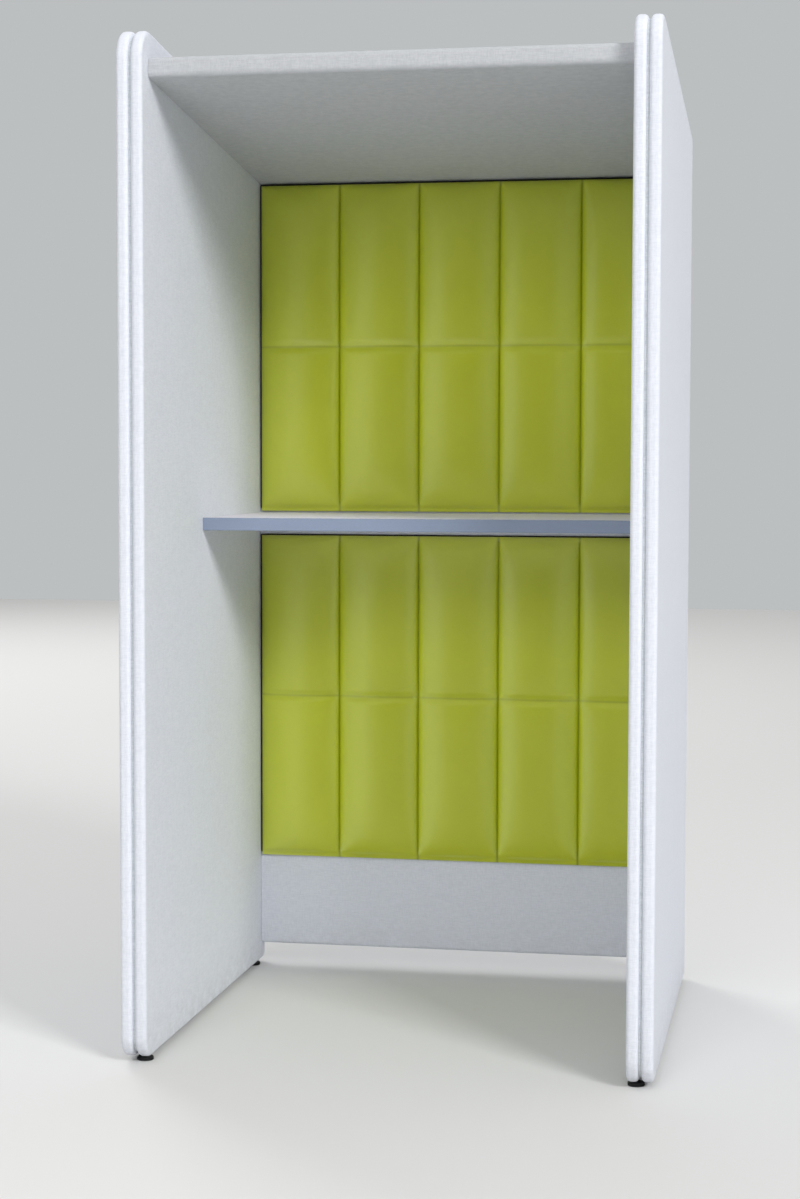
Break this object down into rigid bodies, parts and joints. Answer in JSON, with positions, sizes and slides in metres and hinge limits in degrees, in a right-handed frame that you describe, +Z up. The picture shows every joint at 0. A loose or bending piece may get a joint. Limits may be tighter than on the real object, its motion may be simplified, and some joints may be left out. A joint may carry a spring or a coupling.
{
  "type": "acoustic office pod",
  "caption": "Open-fronted standing pod with padded fabric sides, sloping roof, quilted back pads and a worktop, on levelling feet.",
  "frame": {"origin": "on the floor, below the middle of the pod's width and depth", "axes": "+Z up, +X to the right seen from the open front, +Y towards the back panel, so the open front faces -Y"},
  "size_m": [1.085, 1, 2.0911],
  "materials": {
    "panel_fabric": "matte",
    "edge_band_board": "matte",
    "quilt_leatherette": "satin",
    "laminate": "satin",
    "laminate_edge": "satin",
    "timber": "matte",
    "absorber": "matte",
    "steel": "satin",
    "bracket_steel": "satin",
    "glide_plastic": "matte"
  },
  "bodies": {
    "pod": {"left_inner_cover": "panel_fabric", "left_outer_cover": "panel_fabric", "left_core_board": "edge_band_board", "left_inner_frame": "timber", "left_upper_infill": "absorber", "left_lower_infill": "absorber", "left_outer_infill": "absorber", "left_shelf_front_pin": "steel", "left_shelf_rear_pin": "steel", "left_back_lower_pin": "steel", "left_back_upper_pin": "steel", "right_inner_cover": "panel_fabric", "right_outer_cover": "panel_fabric", "right_core_board": "edge_band_board", "right_inner_frame": "timber", "right_upper_infill": "absorber", "right_lower_infill": "absorber", "right_outer_infill": "absorber", "right_shelf_front_pin": "steel", "right_shelf_rear_pin": "steel", "right_back_lower_pin": "steel", "right_back_upper_pin": "steel", "front_left_foot_insert": "steel", "front_left_bracket": "bracket_steel", "front_left_roof_screw": "steel", "front_left_side_screw": "steel", "front_right_foot_insert": "steel", "front_right_bracket": "bracket_steel", "front_right_roof_screw": "steel", "front_right_side_screw": "steel", "rear_left_foot_insert": "steel", "rear_left_bracket": "bracket_steel", "rear_left_roof_screw": "steel", "rear_left_side_screw": "steel", "rear_right_foot_insert": "steel", "rear_right_bracket": "bracket_steel", "rear_right_roof_screw": "steel", "rear_right_side_screw": "steel", "roof_cover": "panel_fabric", "back_cover": "panel_fabric", "roof_core": "timber", "back_core": "timber", "shelf_board": "laminate", "shelf_edge_band": "laminate_edge", "upper_pad": "quilt_leatherette", "lower_pad": "quilt_leatherette", "upper_backing": "timber", "lower_backing": "timber"},
    "front_left_glide": {"front_left_foot_glide": "glide_plastic"},
    "front_left_stud": {"front_left_foot_stud": "steel"},
    "front_right_glide": {"front_right_foot_glide": "glide_plastic"},
    "front_right_stud": {"front_right_foot_stud": "steel"},
    "rear_left_glide": {"rear_left_foot_glide": "glide_plastic"},
    "rear_left_stud": {"rear_left_foot_stud": "steel"},
    "rear_right_glide": {"rear_right_foot_glide": "glide_plastic"},
    "rear_right_stud": {"rear_right_foot_stud": "steel"}
  },
  "joints": [
    {"name": "front_left_foot_travel", "type": "slide", "parent": "pod", "child": "front_left_glide", "axis": [0, 0, -1], "range_m": [0, 0.01]},
    {"name": "front_left_foot_screw", "type": "hinge", "parent": "front_left_glide", "child": "front_left_stud", "pos_m": [-0.505, -0.4475, 0.03], "axis": [0, 0, -1], "range_deg": [0, 2882]},
    {"name": "front_right_foot_travel", "type": "slide", "parent": "pod", "child": "front_right_glide", "axis": [0, 0, -1], "range_m": [0, 0.01]},
    {"name": "front_right_foot_screw", "type": "hinge", "parent": "front_right_glide", "child": "front_right_stud", "pos_m": [0.505, -0.4475, 0.03], "axis": [0, 0, -1], "range_deg": [0, 2882]},
    {"name": "rear_left_foot_travel", "type": "slide", "parent": "pod", "child": "rear_left_glide", "axis": [0, 0, -1], "range_m": [0, 0.01]},
    {"name": "rear_left_foot_screw", "type": "hinge", "parent": "rear_left_glide", "child": "rear_left_stud", "pos_m": [-0.505, 0.4475, 0.03], "axis": [0, 0, -1], "range_deg": [0, 2882]},
    {"name": "rear_right_foot_travel", "type": "slide", "parent": "pod", "child": "rear_right_glide", "axis": [0, 0, -1], "range_m": [0, 0.01]},
    {"name": "rear_right_foot_screw", "type": "hinge", "parent": "rear_right_glide", "child": "rear_right_stud", "pos_m": [0.505, 0.4475, 0.03], "axis": [0, 0, -1], "range_deg": [0, 2882]}
  ],
  "couplings": [
    {"joint": "front_left_foot_screw", "follows": "front_left_foot_travel", "rad_per_m": 5026.5},
    {"joint": "front_right_foot_screw", "follows": "front_right_foot_travel", "rad_per_m": 5026.5},
    {"joint": "rear_left_foot_screw", "follows": "rear_left_foot_travel", "rad_per_m": 5026.5},
    {"joint": "rear_right_foot_screw", "follows": "rear_right_foot_travel", "rad_per_m": 5026.5}
  ]
}
